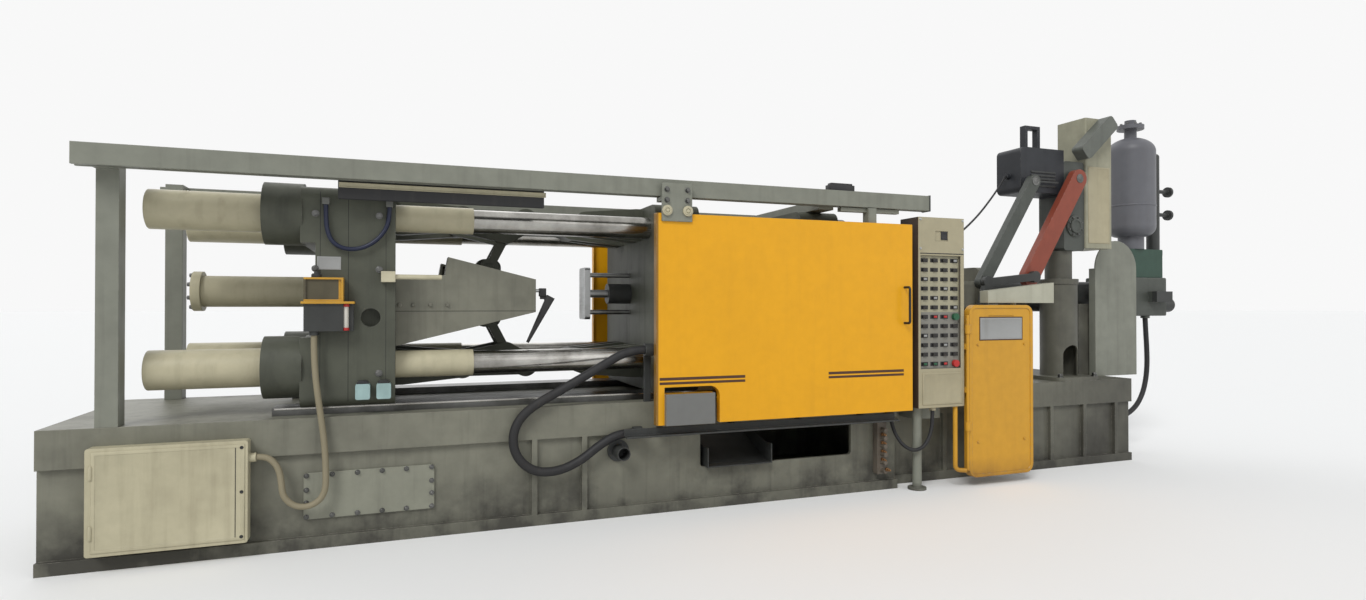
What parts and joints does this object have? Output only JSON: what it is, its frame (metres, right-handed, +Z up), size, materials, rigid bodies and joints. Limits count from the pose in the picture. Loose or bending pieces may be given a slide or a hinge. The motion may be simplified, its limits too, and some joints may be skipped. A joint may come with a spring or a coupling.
{
  "type": "high pressure die casting machine",
  "caption": "Cold-chamber die casting machine with toggle closing unit, sliding guard doors, injection unit, ladler and control panel on a long welded bed.",
  "frame": {"origin": "on the floor, on the centre plane, under the die face of the fixed platen", "axes": "+X towards the injection end, -Y the operator's side, +Z up"},
  "size_m": [8.03, 1.553, 2.82],
  "materials": {
    "machine_grey": "worn satin paint",
    "dark_grey": "oily dark paint",
    "cream": "satin paint",
    "yellow": "gloss paint",
    "steel": "machined",
    "chrome": "polished",
    "cast": "cast and painted",
    "red_brown": "satin paint",
    "black": "matte",
    "red": "gloss",
    "brass": "tarnished",
    "rubber": "matte",
    "beige_cable": "matte",
    "blue_hose": "satin"
  },
  "bodies": {
    "frame": {"accumulator_block": "dark_grey", "base_cover_plate": "machine_grey", "base_frame": "machine_grey", "bed_hose": "rubber", "bed_slideways": "steel", "bottom_door_rail": "dark_grey", "door_rails": "machine_grey", "end_box": "cream", "fixed_platen": "cast", "guard_post": "yellow", "guard_screen": "machine_grey", "injection_frame": "machine_grey", "key_board": "cream", "ladler_cable": "rubber", "ladler_column": "machine_grey", "ladler_head": "dark_grey", "nitrogen_bottle": "machine_grey", "panel_cable": "rubber", "panel_case": "cream", "panel_stand": "machine_grey", "pour_tray": "cream", "rail_brackets": "machine_grey", "rear_block": "dark_grey", "rear_hose": "rubber", "scrap_chute": "dark_grey", "shot_cylinder": "dark_grey", "shot_sleeve": "steel", "slim_accumulator": "dark_grey", "tail_cable": "beige_cable", "tie_bar_nuts": "dark_grey", "tie_bars": "chrome", "water_fittings": "brass"},
    "tail": {"tail_platen": "cast", "closing_cylinder": "cream", "tie_bar_covers": "cream", "crosshead_guides": "machine_grey", "tail_fittings": "black", "tail_hose": "blue_hose"},
    "crosshead": {"crosshead": "cast", "closing_rod": "chrome"},
    "upper_rear_link": {"upper_rear_link": "cast"},
    "lower_rear_link": {"lower_rear_link": "cast"},
    "upper_front_link": {"upper_front_link": "cast"},
    "lower_front_link": {"lower_front_link": "cast"},
    "upper_cross_link": {"upper_cross_link": "cast"},
    "lower_cross_link": {"lower_cross_link": "cast"},
    "platen": {"moving_platen": "cast", "ejector_cylinder": "dark_grey"},
    "ejector": {"ejector_plate": "steel"},
    "front_door": {"front_door": "yellow", "door_hangers": "machine_grey"},
    "rear_door": {"rear_door": "yellow"},
    "plunger": {"plunger": "chrome"},
    "shot_guard": {"guard_panel": "yellow"},
    "main_arm": {"main_arm": "red_brown"},
    "link_arm": {"link_arm": "machine_grey"},
    "coupler": {"ladler_coupler": "dark_grey"},
    "ladle": {"ladle": "cast"},
    "e_stop_button": {"e_stop_button": "red"},
    "start_button": {"start_button": "black"}
  },
  "joints": [
    {"name": "die_height", "type": "slide", "parent": "frame", "child": "tail", "axis": [1, 0, 0], "range_m": [-0.05, 0.4]},
    {"name": "clamp", "type": "slide", "parent": "tail", "child": "platen", "axis": [1, 0, 0], "range_m": [-0.55, 0]},
    {"name": "crosshead_slide", "type": "slide", "parent": "tail", "child": "crosshead", "axis": [1, 0, 0], "range_m": [-0.39854, 0.0005]},
    {"name": "upper_rear_pivot", "type": "hinge", "parent": "tail", "child": "upper_rear_link", "pos_m": [-2.06, 0, 1.715], "axis": [0, 1, 0], "range_deg": [-0.05, 76.39]},
    {"name": "lower_rear_pivot", "type": "hinge", "parent": "tail", "child": "lower_rear_link", "pos_m": [-2.06, 0, 0.865], "axis": [0, 1, 0], "range_deg": [-76.39, 0.05]},
    {"name": "upper_front_pivot", "type": "hinge", "parent": "platen", "child": "upper_front_link", "pos_m": [-1.34, 0, 1.715], "axis": [0, 1, 0], "range_deg": [-76.39, 0.05]},
    {"name": "lower_front_pivot", "type": "hinge", "parent": "platen", "child": "lower_front_link", "pos_m": [-1.34, 0, 0.865], "axis": [0, 1, 0], "range_deg": [-0.05, 76.39]},
    {"name": "upper_cross_pivot", "type": "hinge", "parent": "crosshead", "child": "upper_cross_link", "pos_m": [-1.89, 0, 1.445], "axis": [0, 1, 0], "range_deg": [-0.05, 65.54]},
    {"name": "lower_cross_pivot", "type": "hinge", "parent": "crosshead", "child": "lower_cross_link", "pos_m": [-1.89, 0, 1.135], "axis": [0, 1, 0], "range_deg": [-65.54, 0.05]},
    {"name": "ejector_slide", "type": "slide", "parent": "platen", "child": "ejector", "axis": [1, 0, 0], "range_m": [0, 0.125]},
    {"name": "front_door_slide", "type": "slide", "parent": "frame", "child": "front_door", "axis": [1, 0, 0], "range_m": [-1.4, 0]},
    {"name": "rear_door_slide", "type": "slide", "parent": "frame", "child": "rear_door", "axis": [1, 0, 0], "range_m": [-1.4, 0]},
    {"name": "plunger_slide", "type": "slide", "parent": "frame", "child": "plunger", "axis": [1, 0, 0], "range_m": [-0.5, 0]},
    {"name": "guard_hinge", "type": "hinge", "parent": "frame", "child": "shot_guard", "pos_m": [1.13, -0.776, 0.6], "axis": [0, 0, -1], "range_deg": [0, 100]},
    {"name": "ladler_swing", "type": "hinge", "parent": "frame", "child": "main_arm", "pos_m": [2.459, -0.468, 2.184], "axis": [0, 1, 0], "range_deg": [-72, 12]},
    {"name": "link_swing", "type": "hinge", "parent": "frame", "child": "link_arm", "pos_m": [2.019, -0.468, 2.139], "axis": [0, 1, 0], "range_deg": [-72.05, 12.05]},
    {"name": "coupler_pivot", "type": "hinge", "parent": "main_arm", "child": "coupler", "pos_m": [1.97543, -0.52, 1.42495], "axis": [0, 1, 0], "range_deg": [-12.05, 72.05]},
    {"name": "ladle_tilt", "type": "hinge", "parent": "coupler", "child": "ladle", "pos_m": [1.47543, -0.57, 1.16995], "axis": [0, 1, 0], "range_deg": [-85, 0]},
    {"name": "e_stop_press", "type": "slide", "parent": "frame", "child": "e_stop_button", "axis": [0, 1, 0], "range_m": [0, 0.005], "stiffness_N_per_m": 600},
    {"name": "start_press", "type": "slide", "parent": "frame", "child": "start_button", "axis": [0, 1, 0], "range_m": [0, 0.005], "stiffness_N_per_m": 400}
  ],
  "couplings": [
    {"joint": "crosshead_slide", "follows": "clamp", "ratio": 0.72372},
    {"joint": "upper_rear_pivot", "follows": "clamp", "rad_per_m": -2.4226},
    {"joint": "lower_rear_pivot", "follows": "clamp", "rad_per_m": 2.4226},
    {"joint": "upper_front_pivot", "follows": "clamp", "rad_per_m": 2.4226},
    {"joint": "lower_front_pivot", "follows": "clamp", "rad_per_m": -2.4226},
    {"joint": "upper_cross_pivot", "follows": "clamp", "rad_per_m": -2.0781},
    {"joint": "lower_cross_pivot", "follows": "clamp", "rad_per_m": 2.0781},
    {"joint": "link_swing", "follows": "ladler_swing", "ratio": 1},
    {"joint": "coupler_pivot", "follows": "ladler_swing", "ratio": -1}
  ]
}
